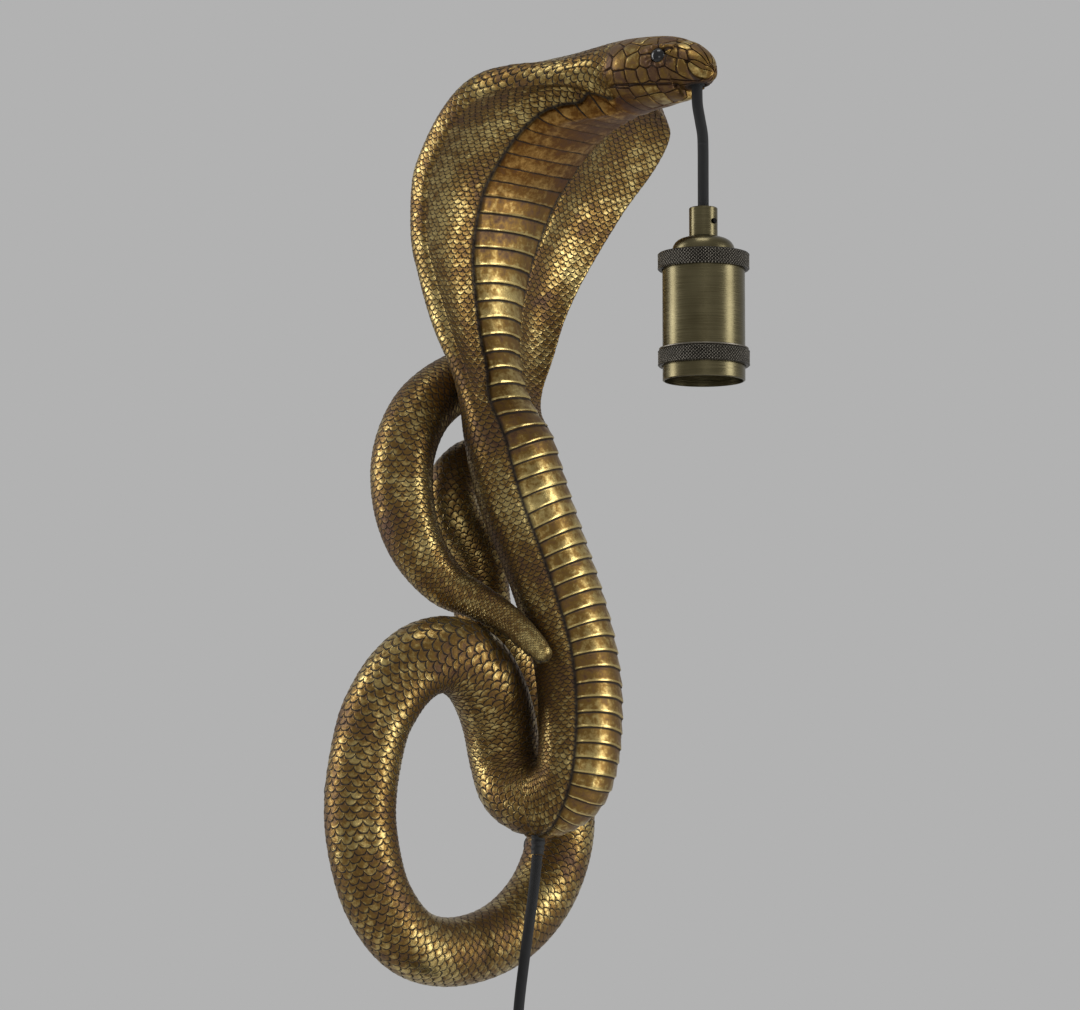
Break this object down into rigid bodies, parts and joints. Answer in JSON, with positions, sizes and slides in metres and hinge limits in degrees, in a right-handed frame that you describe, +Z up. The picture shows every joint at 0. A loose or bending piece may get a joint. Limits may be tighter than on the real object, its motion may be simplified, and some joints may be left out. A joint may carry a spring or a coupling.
{
  "type": "cobra wall lamp",
  "caption": "Wall lamp in the form of a rearing cobra: the coiled body hangs flat on the wall and a pendant lampholder hangs from the mouth on a textile cord.",
  "frame": {"origin": "keyhole in the back of the lamp, on the wall plane, where the neck of the wall screw rests", "axes": "+Z up along the wall, +Y into the wall, -Y out into the room, +X to the right seen from the room"},
  "size_m": [0.1838, 0.2269, 0.7243],
  "materials": {
    "cast_gold": "cast resin with an antique gold finish, dark brown wash left in the crevices",
    "glass_eye": "opaque black glass bead, polished",
    "steel": "plain steel",
    "rubber": "black rubber",
    "textile_cord": "black braided textile sleeve over the cord",
    "brass": "antique brass, brushed round and lacquered",
    "dark_brass": "dark antique brass, diamond knurled",
    "porcelain": null,
    "black_plastic": "moulded black plastic",
    "tie_cloth": "black hook and loop strap"
  },
  "bodies": {
    "lamp": {"hood_casting": "cast_gold", "body_casting": "cast_gold", "coil_casting": "cast_gold", "tail_casting": "cast_gold", "eye_left": "glass_eye", "eye_right": "glass_eye", "seam_sleeve": "steel", "coil_dowel": "steel", "tail_dowel": "steel", "hanger_plate": "steel", "hanger_screw_left": "steel", "hanger_screw_right": "steel", "switch_screw_1": "steel", "switch_screw_2": "steel", "plug_pin_left": "steel", "plug_pin_right": "steel", "wall_bumper_1": "rubber", "wall_bumper_2": "rubber", "wall_bumper_3": "rubber", "mouth_bush": "rubber", "strain_relief": "rubber", "inner_lead": "textile_cord", "mains_lead": "textile_cord", "lead_coil": "textile_cord", "switch_lead": "textile_cord", "plug_lead": "textile_cord", "switch_cover": "black_plastic", "switch_base": "black_plastic", "plug_body": "black_plastic", "lead_tie": "tie_cloth"},
    "cord": {"pendant_cord_upper": "textile_cord"},
    "holder": {"pendant_cord_lower": "textile_cord", "cord_grip": "brass", "grub_screw": "steel", "threaded_nipple": "steel", "nipple_nut": "steel", "dome_cap": "brass", "upper_ring": "dark_brass", "outer_shell": "brass", "insulator": "porcelain", "lamp_thread": "brass", "centre_contact": "brass", "terminal_screw_live": "steel", "terminal_screw_neutral": "steel", "core_live": "rubber", "core_neutral": "rubber"},
    "washer": {"shade_washer": "dark_brass"},
    "ring": {"shade_ring": "dark_brass"},
    "rocker": {"switch_rocker": "black_plastic"}
  },
  "joints": [
    {"name": "side_swing", "type": "hinge", "parent": "lamp", "child": "cord", "pos_m": [0.006, -0.1997, 0.145], "axis": [0, 1, 0], "range_deg": [-40, 40]},
    {"name": "fore_aft_swing", "type": "hinge", "parent": "cord", "child": "holder", "pos_m": [0.006, -0.2037, 0.115], "axis": [1, 0, 0], "range_deg": [-40, 40]},
    {"name": "washer_drop", "type": "slide", "parent": "holder", "child": "washer", "axis": [0, 0, -1], "range_m": [0, 0.0031]},
    {"name": "ring_turn", "type": "hinge", "parent": "washer", "child": "ring", "pos_m": [0.006, -0.2037, 0.0074], "axis": [0, 0, -1], "range_deg": [0, 720]},
    {"name": "rocker_tip", "type": "hinge", "parent": "lamp", "child": "rocker", "pos_m": [0.025, -0.0344, -0.43957], "axis": [1, 0, 0], "range_deg": [-16, 0]}
  ],
  "couplings": [
    {"joint": "washer_drop", "follows": "ring_turn", "m_per_rad": 0.00023873}
  ]
}
